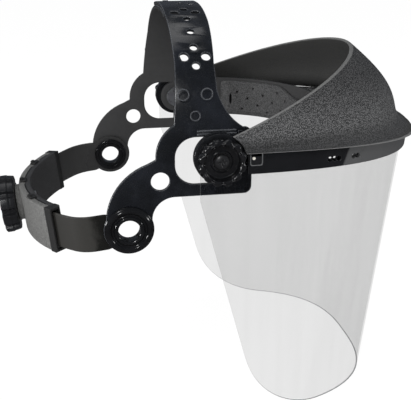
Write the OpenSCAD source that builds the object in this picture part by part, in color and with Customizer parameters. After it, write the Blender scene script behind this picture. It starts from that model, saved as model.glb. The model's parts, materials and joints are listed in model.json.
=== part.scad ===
// Face shield: head harness, tilting browguard with clear visor, and ratchet nape strap.
// Millimetres. +Z is up, the visor faces -Y, the wearer's right is -X.
// The origin is the midpoint of the visor's pivot axis.

/* [Head harness] */
// Distance from the centre plane to the middle of a side plate
plate_x = 89; // [87:0.5:90]
// Thickness of the harness moulding
plate_t = 2.4; // [2.2:0.1:2.6]
// Height of the crown strap's top above the pivot axis
crown_top = 86; // [80:1:95]
// Width of the crown strap
crown_w = 27; // [24:1:30]
// Front of the headband, measured forward from the pivot axis
headband_front = 98; // [90:1:100]
// Height of the headband
headband_h = 27; // [22:1:30]
// Thickness of the sweatband pad
sweatband_t = 4; // [3:0.5:6]

/* [Visor] */
// Half width of the clear visor at its outer face
visor_a = 101.2; // [101:0.1:101.5]
// Front of the visor at pivot height, measured forward
visor_front = 150; // [148:0.5:151]
// Thickness of the clear sheet
visor_t = 1; // [0.8:0.1:1]
// Lowest point of the visor below the pivot axis
visor_drop = 189; // [180:1:200]
// Backward lean of the visor's front
visor_lean = 6.5; // [5:0.5:8]

/* [Browguard] */
// Half width of the brim
brim_a = 108; // [107:0.5:110]
// Front of the brim, measured forward from the pivot axis
brim_front = 155; // [154.5:0.5:158]
// Height of the crown edge at the centre front
brow_top = 57; // [52:1:60]
// Wall thickness of the browguard
brow_t = 2.4; // [2:0.1:2.5]

/* [Pivots] */
// Radius of the pivot bolt's bearing shank
bolt_r = 5; // [4.5:0.25:5.5]
// Radius of the pivot knob
knob_r = 15.5; // [15:0.5:17]

/* [Nape strap] */
// Rearward place of the nape pivots
nape_y = 57; // [55:1:59]
// Height of the nape pivots
nape_z = -47.5; // [-49:0.5:-46]
// Downward tilt of the nape strap about the nape pivots
nape_tilt = 6; // [0:1:8]
// Radius of the rivets' open centre
eyelet_r = 7.15; // [6:0.1:7.5]
// Height of the nape strap
strap_h = 24.6; // [24:0.2:25]
// Radius of the ratchet casing's outer face
casing_r = 121.6; // [118:0.5:124]
// Rearward place of the casing's outer face
casing_y = 128; // [126:1:130]
// Radius of the ratchet knob
ratchet_knob_r = 21; // [19:0.5:23]

/* [Hidden] */
$fn = 96;

// Longer than any piece, for cuts that run right through
far = 400;
// Distances from the centre plane between which every side bore is cut
bore_in = 60;
bore_out = 120;
// Running clearance on a radius
run = 0.06;
// Tighter clearance where a pressed piece sits
press = 0.03;
// Gap that parts two solids which touch in the real object
gap = 0.1;

plate_out = plate_x + plate_t / 2;
plate_in = plate_x - plate_t / 2;

// Side opening around the pivot
window_top = 12;
window_bottom = -19;
window_rear = 26.7;
window_front = 2;
window_r = 13;
boss_r = 12.5;
boss_h = 2;

// Round hole behind the opening
vent_r = 6;
vent_y = 36.3;
vent_z = -16;

// Raised lines above the opening
ridge_heights = [13.6, 15.6];
ridge_w = 25;
ridge_t = 0.8;

// Outline of the side plate in Y and Z: middles and radii of its arcs, straight edges, corners
shoulder = [15.15, -0.5];
shoulder_r = 23.8;
arm = [31.1, -42.7];
arm_r = 40.5;
neck = [27.1, -41.7];
neck_r = 14.75;
flare = [-37.5, 48.5];
flare_r = 37.3;
plate_front = -23;
plate_bottom = -27;
neck_in = 2;
neck_z = 56;
neck_top = 78;
root_out = 2.5;
root_z = 24;
plate_round = 5;
plate_fillet = 3;

// Crown strap
crown_y = 10.75;
crown_z0 = 12;
crown_n = 2.2;
crown_lap_x = 27;
hole_r = 2.5;
side_hole_r = 3;
peg_r = 2.1;
hole_side = 7;
hole_turns = [33, 43.5, 54, 64.5, 75, 85.5];
side_hole_turns = [38, 71];
peg_turns = [84, 96];
peg_out = 3.2;

// Headband
headband_y0 = -15;
headband_z = -12;
sweatband_rear = -38;
sweatband_z = -16;
sweatband_h = 29;

// Pivot stack: distances from the centre plane, outwards
bolt_head_r = 8;
bolt_head_t = 3.2;
washer_r = 11.5;
washer_t = 1.2;
ear_in = plate_out + boss_h + washer_t + 2 * gap;
sheet_gap = 0.3;
ear_out = visor_a - visor_t - sheet_gap;
ear_r = 16;
spring_x = visor_a + 0.2;
spring_t = 1;
spring_r = 9;
knob_x = spring_x + spring_t + 0.2;
knob_t = 9;
knob_floor = 3;
knob_recess_r = 11.2;
knob_grip_t = 6.4;
knob_step = 1.8;
hub_wall = 1.6;
hub_t = knob_floor + 0.8;
flutes = 12;
flute_r = 2.2;
flute_out = 0.9;
tail_r = 3;
insert_r = 5;
dome_r = 5.2;
dome_h = 2.8;
dome_curve = 8;
screw_r = 1.5;
screw_in = 98;

// Channel that holds the sheet
band_t = 2.3;
band_out = visor_a + sheet_gap + band_t;
band_bottom = -10;
band_top = 4.4;
web_t = 2;
flange_bottom = -7;
flange_t = 2.3;
wall_rear = -17.5;
sheet_n = 2.8;
latch_y = -22.6;
latch_z = -0.8;
latch_w = 7;
latch_h = 5;
latch_travel = 1.8;
latch_peg_r = 1.5;
latch_peg_z = -1.8;
latch_t = 2.4;
slot_w = 3.6;
slot_h = 3.4;
rear_edge = 12.5;
rear_edge_z = -27;
rear_edge_slope = 15;
corner_r = 60;
stud_r = 2;
stud_z = -2.5;
stud_in = 3.4;
stud_out = 0.1;
stud_turns = [32, 62, 90, 118, 148];
peep_turns = [20.7, 22.05, 23.4, 28.6, 30.1];
peep_r = 1.7;
peep_z = -4.4;

// Browguard: plan curves of the brim and of the crown edge, and the shape between them
brim_n = 3.2;
brim_y0 = -4;
crown_edge_a = 102.5;
crown_edge_b = 114;
crown_edge_n = 1.9;
crown_edge_slope = 0.4;
brow_swell = 7;
brow_dip = 9;
dip_place = 0.15;
dip_side = 0.3;
brow_ledge = 2.5;
brow_cols = 48;
brow_rows = [0, 0.04, 0.08, 0.12, 0.16, 0.22, 0.3, 0.42, 0.55, 0.7, 0.85, 1];

// Nape pivots
ring_r = 16.3;
barrel_r = 10;
flange_r = 16;
rivet_head_t = 2.2;
rivet_tail_t = 2.2;
groove_in = 9.6;
groove_out = 11.4;
groove_h = 1.6;
rivet_collar_r = 13;
rivet_collar_t = 2;
ring_t = 1.6;
ring_x = plate_in - gap - ring_t / 2;

// Ratchet casing before its tilt: it curves around a vertical axis through the head
casing_c = casing_y - casing_r;
casing_z = nape_z;
casing_h = 31;
casing_half = 34;
cover_t = 2.2;
layer_gap = 0.4;
layer_right = casing_r - cover_t - layer_gap - ring_t / 2;
layer_left = layer_right - ring_t - layer_gap;
casing_in = layer_left - ring_t / 2 - layer_gap - cover_t + 0.4;
seam_r = (layer_left + layer_right) / 2;
bend_r = 20;
bend_gap = 0.6;
end_gap = 3.5;
rack_tip = 15;

// Pinion and racks
teeth = 12;
pitch_r = 7;
addendum = 1;
dedendum = 1.5;
backlash = 0.35;
spindle_r = 4;
collar_r = 13;
collar_h = 3.4;
knob_face = casing_y + collar_h + 0.3;
ratchet_knob_t = 10.5;
grips = 10;
grip_r = 4;
grip_out = 2.2;
dish_r = 13;
dish_depth = 1.8;
spindle_seat = 5.2;
screw_seat = 7.5;
screw_head_r = 6.4;
screw_head_t = 1.8;
spring_holes = 3;
spring_hole_r = 2.2;
spring_hole_out = 7.6;

// ---- Helpers ----

// A point of a superellipse quadrant pair; turn runs from 0 to 180 degrees
function arch(a, b, n, turn) =
    [sign(cos(turn)) * a * pow(abs(cos(turn)), 2 / n), b * pow(abs(sin(turn)), 2 / n)];

// Unit outward normal of that superellipse
function arch_normal(a, b, n, turn) =
    let (p = arch(a, b, n, turn))
    let (g = [sign(p[0]) * pow(abs(p[0] / a), n - 1) / a, pow(p[1] / b, n - 1) / b])
    g / norm(g);

// Points along an arc between two angles
function arc(middle, r, from, to, steps = 12) =
    [for (k = [0:steps]) let (w = from + (to - from) * k / steps) middle + r * [cos(w), sin(w)]];

// Half angle at which such an arch reaches the given distance from the centre plane
function arch_turn(a, n, x) = acos(pow(x / a, n / 2));

// U-shaped wall in plan, open to the rear
module u_wall(a, b, n, t, y0, rear) {
    turns = [for (k = [0:60]) k * 3];
    outer = [for (w = turns) let (p = arch(a, b, n, w)) [p[0], y0 - p[1]]];
    inner = [for (w = turns) let (p = arch(a - t, b - t, n, 180 - w)) [p[0], y0 - p[1]]];
    polygon(concat([[a, rear]], outer, [[-a, rear]], [[-a + t, rear]], inner, [[a - t, rear]]));
}

// Prism along X from an outline drawn in Y and Z
module across(from_x, to_x) {
    translate([from_x, 0, 0]) rotate([90, 0, 90]) linear_extrude(to_x - from_x) children();
}

// Cylinder along X between two distances from the centre plane, on the side s
module side_disc(s, from_x, to_x, r, y = 0, z = 0) {
    translate([s * from_x, y, z]) rotate([0, s * 90, 0]) cylinder(h = to_x - from_x, r = r);
}

// Bore right through everything on the side s
module side_bore(s, r, y = 0, z = 0) {
    side_disc(s, bore_in, bore_out, r, y, z);
}

// Cylinder along +Y
module rear_disc(from_y, to_y, r, z = casing_z) {
    translate([0, from_y, z]) rotate([-90, 0, 0]) cylinder(h = to_y - from_y, r = r);
}

// Bore right through the ratchet
module rear_bore(r) {
    rear_disc(far / 4, far / 2, r);
}

// Outline with its corners rounded
module rounded(r) {
    offset(r = r) offset(delta = -r) children();
}

// Outline with its inside corners rounded
module filleted(r) {
    offset(delta = -r) offset(r = r) children();
}

// ---- Head harness ----

// Side plate and its strap, seen from the side: the shoulder and the arm bulge to the rear
module plate_outline() {
    strap_rear = crown_y + crown_w / 2;
    strap_front = crown_y - crown_w / 2;
    rounded(plate_round, $fn = 48) filleted(plate_fillet, $fn = 48) {
        polygon(concat([[strap_front, neck_top], [strap_front, far], [strap_rear, far]],
            [[strap_rear, neck_z], [strap_rear + root_out, root_z]],
            arc(shoulder, shoulder_r, 60, -3),
            arc(arm, arm_r, 71, 0),
            [[nape_y, nape_z]],
            arc(neck, neck_r, 0, 90),
            [[plate_front, plate_bottom], [plate_front, flare[1] - flare_r * sin(57)]],
            arc(flare, flare_r, -57, -12),
            [[strap_front + neck_in, neck_z]]));
        translate([nape_y, nape_z]) circle(r = ring_r);
    }
}

// Opening of the side plate behind the pivot
module plate_window() {
    difference() {
        rounded(window_r, $fn = 48)
            translate([-window_r, window_bottom])
                square([window_rear + window_r, window_top - window_bottom]);
        translate([-far, -far / 2]) square([far + window_front, far]);
        circle(r = boss_r);
    }
}

// Bent wall of one side: upright beside the head, arched over the crown
module side_wall(s, top) {
    rise = top - crown_z0;
    end_turn = arch_turn(plate_out, crown_n, crown_lap_x);
    turns = [for (k = [0:40]) (180 - end_turn) * k / 40];
    outer = [for (w = turns) arch(plate_out, rise, crown_n, w) + [0, crown_z0]];
    inner = [for (k = [40:-1:0])
        arch(plate_in, rise - plate_t, crown_n, turns[k]) + [0, crown_z0]];
    points = concat([[plate_out, -far / 4]], outer, inner, [[plate_in, -far / 4]]);
    translate([0, far / 2, 0])
        rotate([90, 0, 0])
            linear_extrude(far)
                polygon([for (p = points) [s * p[0], p[1]]]);
}

// Round bar through the crown strap at one place along its arch
module crown_bar(s, top, turn, y, r, inside, outside) {
    rise = top - crown_z0;
    p = arch(plate_out, rise, crown_n, turn);
    n = arch_normal(plate_out, rise, crown_n, turn);
    lean = atan2(n[0], n[1]);
    translate([s * p[0], y, p[1] + crown_z0])
        rotate([0, s * lean, 0])
            translate([0, 0, -inside]) cylinder(h = inside + outside, r = r, $fn = 32);
}

// Adjusting holes and the two peg holes of the upper crown strap
module crown_holes(s, top) {
    for (turn = hole_turns) crown_bar(s, top, turn, crown_y, hole_r, 5, 5);
    for (turn = side_hole_turns, side = [-1, 1])
        crown_bar(s, top, turn, crown_y + side * hole_side, side_hole_r, 5, 5);
    for (turn = peg_turns) crown_bar(s, top, turn, peg_y(turn), peg_r + 0.3, 5, 5);
}

// The two pegs sit on opposite sides of the strap's middle
function peg_y(turn) = crown_y + (turn > 90 ? hole_side : -hole_side);

// One side plate with its half of the crown strap
module harness_side(s, top, upper) {
    difference() {
        intersection() {
            side_wall(s, top);
            across(-far / 2, far / 2) plate_outline();
        }
        across(s > 0 ? bore_in : -bore_out, s > 0 ? bore_out : -bore_in) plate_window();
        side_bore(s, vent_r, vent_y, vent_z);
        side_bore(s, bolt_r + run);
        side_bore(s, barrel_r + run, nape_y, nape_z);
        if (upper) crown_holes(s, top);
    }
    difference() {
        side_disc(s, plate_x, plate_out + boss_h, boss_r);
        side_bore(s, bolt_r + run);
    }
    for (z = ridge_heights)
        translate([s * plate_out, 0, z]) cube([1, ridge_w, ridge_t], center = true);
}

module harness() {
    lower_top = crown_top - plate_t - 0.3;
    color("#23272e") {
        harness_side(-1, crown_top, true);
        harness_side(1, lower_top, false);
        for (turn = peg_turns) crown_bar(1, lower_top, 180 - turn, peg_y(turn), peg_r, 1, peg_out);
        translate([0, 0, headband_z])
            linear_extrude(headband_h)
                u_wall(plate_out, headband_front + headband_y0, 2.1, plate_t, headband_y0, -14);
    }
}

module sweatband() {
    a = plate_in - gap;
    color("#55565a")
        intersection() {
            translate([0, 0, sweatband_z])
                linear_extrude(sweatband_h)
                    u_wall(a, headband_front + headband_y0 - plate_t - gap, 2.1, sweatband_t,
                        headband_y0, -14);
            translate([-far / 2, sweatband_rear - far, -far / 2]) cube(far);
        }
}

// ---- Pivots ----

module pivot_bolt(s) {
    neck = plate_in - gap;
    color("#9a9ca0")
        difference() {
            union() {
                side_disc(s, neck - bolt_head_t, neck, bolt_head_r);
                side_disc(s, neck, knob_x - gap, bolt_r);
                side_disc(s, neck, knob_x + hub_t, tail_r);
            }
            side_disc(s, screw_in - 1, bore_out, screw_r + run);
        }
}

module washer(s, from_x, t, r) {
    difference() {
        side_disc(s, from_x, from_x + t, r);
        side_bore(s, bolt_r + run);
    }
}

module friction_washer(s) {
    color("#c9c4b4") washer(s, plate_out + boss_h + gap, washer_t, washer_r);
}

module spring_washer(s) {
    color("#a8abb0") washer(s, spring_x, spring_t, spring_r);
}

module pivot_knob(s) {
    grip_x = knob_x + knob_t - knob_grip_t;
    color("#15171a")
        difference() {
            union() {
                side_disc(s, grip_x, knob_x + knob_t, knob_r);
                side_disc(s, knob_x, knob_x + knob_t, knob_r - knob_step);
            }
            for (turn = [0:360 / flutes:359])
                side_disc(s, grip_x - 1, bore_out, flute_r,
                    (knob_r + flute_out) * cos(turn), (knob_r + flute_out) * sin(turn));
            difference() {
                side_disc(s, knob_x + knob_floor, bore_out, knob_recess_r);
                side_disc(s, knob_x, knob_x + hub_t, insert_r + hub_wall);
            }
            side_bore(s, insert_r + press);
        }
}

module knob_insert(s) {
    color("#b08d4a")
        difference() {
            side_disc(s, knob_x + gap, knob_x + hub_t - gap, insert_r);
            side_bore(s, tail_r + run);
        }
}

module knob_screw(s) {
    seat = knob_x + hub_t + 0.3;
    color("#1b1d20") {
        translate([s * seat, 0, 0])
            rotate([0, s * 90, 0])
                rotate_extrude()
                    intersection() {
                        square([dome_r, 2 * dome_h]);
                        translate([0, dome_h - dome_curve]) circle(r = dome_curve);
                    }
        side_disc(s, screw_in, seat + 0.5, screw_r);
    }
}

// ---- Tilting front ----

// Wall that follows the leaning sheet, cut to an outline drawn in Y and Z
module leaning_wall(out, t) {
    intersection() {
        rotate([visor_lean, 0, 0])
            translate([0, 0, -300])
                linear_extrude(400)
                    u_wall(out, visor_front + out - visor_a, sheet_n, t, 0, bore_in);
        across(-far / 2, far / 2) children();
    }
}

// Clear sheet seen from the side: a straight rear edge, then one arc to a level bottom
module visor_outline() {
    drop = visor_drop + rear_edge_z;
    corner = rear_edge - drop * tan(rear_edge_slope);
    centre_y = corner - corner_r * tan(45 - rear_edge_slope / 2);
    turn = 90 - rear_edge_slope;
    arc = [for (k = [0:20])
        let (w = turn * k / 20 + rear_edge_slope)
        [centre_y + corner_r * cos(w), corner_r - visor_drop - corner_r * sin(w)]];
    top = band_top - web_t - sheet_gap;
    polygon(concat([[-far / 2, -visor_drop], [-far / 2, top], [rear_edge, top]],
        [[rear_edge, rear_edge_z]], arc));
}

module visor() {
    color("#cfd6da", 0.4)
        difference() {
            leaning_wall(visor_a, visor_t) visor_outline();
            for (s = [-1, 1]) {
                side_bore(s, bolt_r + 0.8);
                latch_slot(s);
            }
            stud_bars(stud_r + 0.3, 2 * stud_in, 2 * stud_in);
        }
}

// Children stand on a leaning wall: their +Z points outwards at this turn, at this height
module on_wall(out, turn, z) {
    b = visor_front + out - visor_a;
    p = arch(out, b, sheet_n, turn);
    n = arch_normal(out, b, sheet_n, turn);
    rotate([visor_lean, 0, 0])
        translate([p[0], -p[1], (z + p[1] * sin(visor_lean)) / cos(visor_lean)])
            rotate([0, 0, atan2(-n[1], n[0])])
                rotate([0, 90, 0])
                    children();
}

// Bars through the wall at the peep holes of one side
module peep_bars(s) {
    for (turn = peep_turns)
        on_wall(band_out, s > 0 ? turn : 180 - turn, peep_z)
            translate([0, 0, -far / 16]) cylinder(h = far / 8, r = peep_r);
}

// Bars through the sheet at each stud
module stud_bars(r, inside, outside) {
    for (turn = stud_turns)
        on_wall(visor_a, turn, stud_z)
            translate([0, 0, -inside]) cylinder(h = inside + outside, r = r);
}

module visor_studs() {
    color("#2a2c30") stud_bars(stud_r, stud_in, stud_out);
}

// Slot of the sheet that the latch peg slides in
module latch_slot(s) {
    translate([s * ear_out, latch_y, latch_peg_z + latch_travel / 2])
        cube([10, slot_w, latch_travel + slot_h], center = true);
}

module visor_band() {
    web_in = visor_a - visor_t - sheet_gap - flange_t;
    color("#1a1c20")
        difference() {
            union() {
                leaning_wall(band_out, band_t)
                    translate([-far, band_bottom])
                        square([far + wall_rear, band_top - band_bottom]);
                leaning_wall(ear_out, flange_t)
                    translate([-far, flange_bottom])
                        square([far - 8, band_top - flange_bottom]);
                leaning_wall(band_out, band_out - web_in)
                    translate([-far, band_top - web_t]) square([far + wall_rear, web_t]);
                for (s = [-1, 1]) side_disc(s, ear_in, ear_out, ear_r);
            }
            for (s = [-1, 1]) {
                side_bore(s, bolt_r + run);
                translate([s * (band_out + 0.5), latch_y, latch_z + latch_travel / 2])
                    cube([2 * band_t + 2, latch_w + 0.4, latch_h + latch_travel + 0.6], center = true);
                latch_slot(s);
                peep_bars(s);
            }
            stud_bars(stud_r + press, 2 * stud_in, 0);
        }
}

module visor_latch(s) {
    face_in = band_out - band_t + 0.1;
    color("#26282c") {
        translate([s * (face_in + latch_t / 2), latch_y, latch_z])
            cube([latch_t, latch_w, latch_h], center = true);
        side_disc(s, ear_out - 0.3, face_in + 1, latch_peg_r, latch_y, latch_peg_z);
    }
}

// Point of the browguard's skin: u runs from the wearer's left to right, v from brim to crown
function brow_point(u, v, t) =
    let (turn = 180 * u)
    let (low = arch(brim_a - t, brim_front + brim_y0 - t, brim_n, turn))
    let (high = arch(crown_edge_a - t, crown_edge_b - t, crown_edge_n, turn))
    let (front = sin(turn))
    let (low_3 = [low[0], brim_y0 - low[1], band_top + gap])
    let (high_3 = [high[0], -1 - high[1], brow_top - crown_edge_slope * (crown_edge_b - high[1])])
    let (dip = v / dip_place * exp(1 - v / dip_place))
    let (out = brow_swell * front * sin(180 * v)
        - brow_dip * (dip_side + (1 - dip_side) * front) * dip)
    low_3 + (high_3 - low_3) * v + out * [cos(turn), -sin(turn), 0];

module browguard() {
    rows = len(brow_rows);
    ring = 2 * rows;
    section = [for (k = [0:ring - 1])
        k < rows ? [brow_rows[k], 0]
            : [brow_rows[ring - 1 - k], brow_t + (ring - 1 - k < 2 ? brow_ledge : 0)]];
    points = [for (c = [0:brow_cols], k = [0:ring - 1])
        brow_point(c / brow_cols, section[k][0], section[k][1])];
    sides = [for (c = [0:brow_cols - 1], k = [0:ring - 1])
        let (a = c * ring + k, b = c * ring + (k + 1) % ring)
        each [[a, b, b + ring], [a, b + ring, a + ring]]];
    caps = [for (k = [0:rows - 2])
        each [[ring - 1 - k, k + 1, k], [ring - 1 - k, ring - 2 - k, k + 1]]];
    end = brow_cols * ring;
    far_caps = [for (f = caps) [f[2] + end, f[1] + end, f[0] + end]];
    color("#3b3d40")
        difference() {
            polyhedron(points = points, faces = concat(sides, caps, far_caps), convexity = 6);
            for (s = [-1, 1]) side_disc(s, 98, 130, knob_r + 0.9);
        }
}

// ---- Nape strap and ratchet ----

module nape_rivet(s) {
    head_x = plate_out + gap;
    color("#17191c")
        difference() {
            union() {
                side_disc(s, head_x, head_x + rivet_head_t, flange_r, nape_y, nape_z);
                side_disc(s, ring_x - ring_t / 2 - rivet_tail_t, head_x + 0.5, barrel_r, nape_y, nape_z);
            }
            side_bore(s, eyelet_r, nape_y, nape_z);
            difference() {
                side_disc(s, head_x + groove_h, bore_out, groove_out, nape_y, nape_z);
                side_disc(s, head_x, bore_out, groove_in, nape_y, nape_z);
            }
        }
}

module rivet_collar(s) {
    from_x = ring_x - ring_t / 2 - rivet_tail_t + gap;
    color("#1d1f22")
        difference() {
            side_disc(s, from_x, from_x + rivet_collar_t, rivet_collar_r, nape_y, nape_z);
            side_bore(s, barrel_r + press, nape_y, nape_z);
        }
}

// Rearward place of the small bend's centre for a strap layer
function bend_y(layer) = casing_c + sqrt(pow(layer - bend_r, 2) - pow(ring_x - bend_r, 2));
// Angle from the rear at which the strap leaves its big arc
function bend_turn(layer) = asin((ring_x - bend_r) / (layer - bend_r));

// Wedge in plan between two angles measured from the rear towards side s
module wedge(s, from_turn, to_turn, r) {
    steps = 12;
    linear_extrude(far, center = true)
        polygon(concat([[0, 0]], [for (k = [0:steps])
            let (w = from_turn + (to_turn - from_turn) * k / steps)
            [s * r * sin(w), r * cos(w)]]));
}

// Upright curved wall around a vertical axis
module arc_wall(r, t, y) {
    translate([0, y, -far / 2])
        difference() {
            cylinder(h = far, r = r + t / 2, $fn = 200);
            translate([0, 0, -1]) cylinder(h = far + 2, r = r - t / 2, $fn = 200);
        }
}

// Turns the nape strap and its ratchet down about the nape pivots
module tilted() {
    translate([0, nape_y, nape_z]) rotate([-nape_tilt, 0, 0]) translate([0, -nape_y, -nape_z]) children();
}

// Nape strap seen from the side
module strap_outline() {
    translate([nape_y, nape_z - strap_h / 2]) square([far, strap_h]);
}

module strap_end(s, layer) {
    by = bend_y(layer);
    turn = bend_turn(layer) + end_gap;
    cx = ring_x - bend_r;
    color("#3a3b3c")
        tilted() difference() {
            union() {
                intersection() {
                    union() {
                        intersection() {
                            translate([s * cx, 0, 0]) arc_wall(bend_r, ring_t, by);
                            translate([s * cx, by, 0]) wedge(s, turn, 90, 2 * bend_r);
                        }
                        translate([s > 0 ? ring_x - ring_t / 2 : -ring_x - ring_t / 2, nape_y, -far / 2])
                            cube([ring_t, by - nape_y, far]);
                    }
                    across(-far / 2, far / 2) strap_outline();
                }
                side_disc(s, ring_x - ring_t / 2, ring_x + ring_t / 2, ring_r - 0.6, nape_y, nape_z);
            }
            side_bore(s, barrel_r + press, nape_y, nape_z);
        }
}

// Rack slot outline in X and Z: teeth on the upper edge
module rack_slot(layer) {
    pitch = 360 / teeth * pitch_r / layer;
    half_gap = 0.25 * pitch;
    clear = 180 / PI * backlash / 2 / layer;
    slope = 180 / PI * addendum * tan(20) / layer;
    root = pitch_r + dedendum;
    tip = pitch_r - addendum;
    first = -4;
    last = 9;
    edge = [for (k = [first:last])
        let (mid = k * pitch)
        each [for (w = [
            [mid - half_gap - clear - slope, tip], [mid - half_gap - clear + slope, root],
            [mid + half_gap + clear - slope, root], [mid + half_gap + clear + slope, tip]])
            [layer * sin(w[0]), w[1]]]];
    left = layer * sin((first - 0.6) * pitch);
    right = layer * sin((last + 0.6) * pitch);
    polygon(concat([[left, -root]], [[left, tip]], edge, [[right, tip]], [[right, -root]]));
}

module nape_strap(s, layer, flip) {
    color("#4a4844")
        tilted() difference() {
            intersection() {
                arc_wall(layer, ring_t, casing_c);
                translate([0, casing_c, 0])
                    wedge(s, -rack_tip, bend_turn(layer) - bend_gap, far / 2);
                across(-far / 2, far / 2) strap_outline();
            }
            translate([0, far / 2, casing_z])
                rotate([90, 0, 0])
                    linear_extrude(far / 2 - casing_c)
                        mirror([s > 0 ? 0 : 1, 0])
                            mirror([0, flip ? 1 : 0]) rack_slot(layer);
        }
}

// Section of a curved casing shell, turned around the casing axis
module casing_shell(r_in, r_out, wall_in, wall_out) {
    h = casing_h / 2;
    inner_h = strap_h / 2 + 0.7;
    translate([0, casing_c, casing_z])
        intersection() {
            rotate_extrude($fn = 200)
                difference() {
                    translate([r_in, -h]) square([r_out - r_in, casing_h]);
                    translate([wall_in, -inner_h]) square([wall_out - wall_in, 2 * inner_h]);
                }
            wedge(1, -casing_half, casing_half, far / 2);
        }
}

module ratchet_outer_cover() {
    color("#6a6a68")
        tilted() difference() {
            union() {
                casing_shell(seam_r + 0.05, casing_r, 0, casing_r - cover_t);
                rear_disc(casing_y - 1.4, casing_y + collar_h, collar_r);
            }
            rear_bore(spindle_r + run);
            rear_disc(casing_y + 0.4, far / 2, collar_r - 1.8);
        }
}

module ratchet_inner_cover() {
    color("#37383a")
        tilted() difference() {
            casing_shell(casing_in, seam_r - 0.05, casing_in + cover_t - 0.4, far / 2);
            rear_bore(spindle_r + run);
        }
}

// Outline of the pinion
module pinion_outline() {
    step = 360 / teeth;
    tip_r = pitch_r + addendum;
    root_r = pitch_r - dedendum + 0.2;
    half_pitch = step / 4 - 180 / PI * backlash / 2 / pitch_r;
    polygon([for (k = [0:teeth - 1])
        each [for (w = [[-1.45 * half_pitch, root_r], [-half_pitch, pitch_r], [-0.42 * half_pitch, tip_r],
            [0.42 * half_pitch, tip_r], [half_pitch, pitch_r], [1.45 * half_pitch, root_r]])
            [w[1] * sin(k * step + w[0]), w[1] * cos(k * step + w[0])]]]);
}

module ratchet_pinion() {
    tooth_from = casing_c + layer_left - ring_t / 2 - 0.2;
    tooth_to = casing_c + layer_right + ring_t / 2;
    color("#b9b4a6")
        tilted() difference() {
            union() {
                translate([0, tooth_to, casing_z])
                    rotate([90, 0, 0]) linear_extrude(tooth_to - tooth_from) pinion_outline();
                rear_disc(casing_c + casing_in - 0.2, knob_face + spindle_seat - 0.2, spindle_r);
            }
            rear_bore(screw_r + run);
        }
}

module ratchet_knob() {
    color("#17181a")
        tilted() difference() {
            rear_disc(knob_face, knob_face + ratchet_knob_t, ratchet_knob_r);
            for (turn = [0:360 / grips:359])
                translate((ratchet_knob_r + grip_out) * [sin(turn), 0, cos(turn)]) rear_bore(grip_r);
            rear_disc(knob_face - 1, knob_face + spindle_seat, spindle_r + press);
            rear_disc(knob_face - 1, knob_face + screw_seat, screw_r + run);
            rear_disc(knob_face + ratchet_knob_t - dish_depth, far / 2, dish_r);
        }
}

module ratchet_screw() {
    head_y = casing_c + casing_in - 0.3;
    color("#a7a9ac") tilted() {
        rear_disc(head_y - screw_head_t, head_y, screw_head_r);
        rear_disc(head_y - 1, knob_face + screw_seat - 0.7, screw_r);
    }
}

module detent_spring() {
    from_y = casing_y + 0.6;
    color("#b4b6b9")
        tilted() difference() {
            rear_disc(from_y, from_y + 1.2, collar_r - 2);
            rear_bore(spindle_r + 0.5);
            for (turn = [0:360 / spring_holes:359])
                translate(spring_hole_out * [sin(turn), 0, cos(turn)]) rear_bore(spring_hole_r);
        }
}

harness();
sweatband();
pivot_bolt(-1);  // pivot_bolt_right
pivot_bolt(1);  // pivot_bolt_left
friction_washer(-1);  // friction_washer_right
friction_washer(1);  // friction_washer_left
spring_washer(-1);  // spring_washer_right
spring_washer(1);  // spring_washer_left
pivot_knob(-1);  // pivot_knob_right
pivot_knob(1);  // pivot_knob_left
knob_insert(-1);  // knob_insert_right
knob_insert(1);  // knob_insert_left
knob_screw(-1);  // knob_screw_right
knob_screw(1);  // knob_screw_left
browguard();
visor_band();
visor();
visor_studs();
visor_latch(-1);  // visor_latch_right
visor_latch(1);  // visor_latch_left
nape_rivet(-1);  // nape_rivet_right
nape_rivet(1);  // nape_rivet_left
rivet_collar(-1);  // rivet_collar_right
rivet_collar(1);  // rivet_collar_left
strap_end(-1, layer_right);  // strap_end_right
strap_end(1, layer_left);  // strap_end_left
nape_strap(-1, layer_right, false);  // nape_strap_right
nape_strap(1, layer_left, true);  // nape_strap_left
ratchet_outer_cover();
ratchet_inner_cover();
ratchet_pinion();
ratchet_knob();
ratchet_screw();
detent_spring();
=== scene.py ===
"""Face shield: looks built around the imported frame.

Metres, +Z up; the visor faces -Y and the wearer's right is -X.
"""

import json
import math

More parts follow.
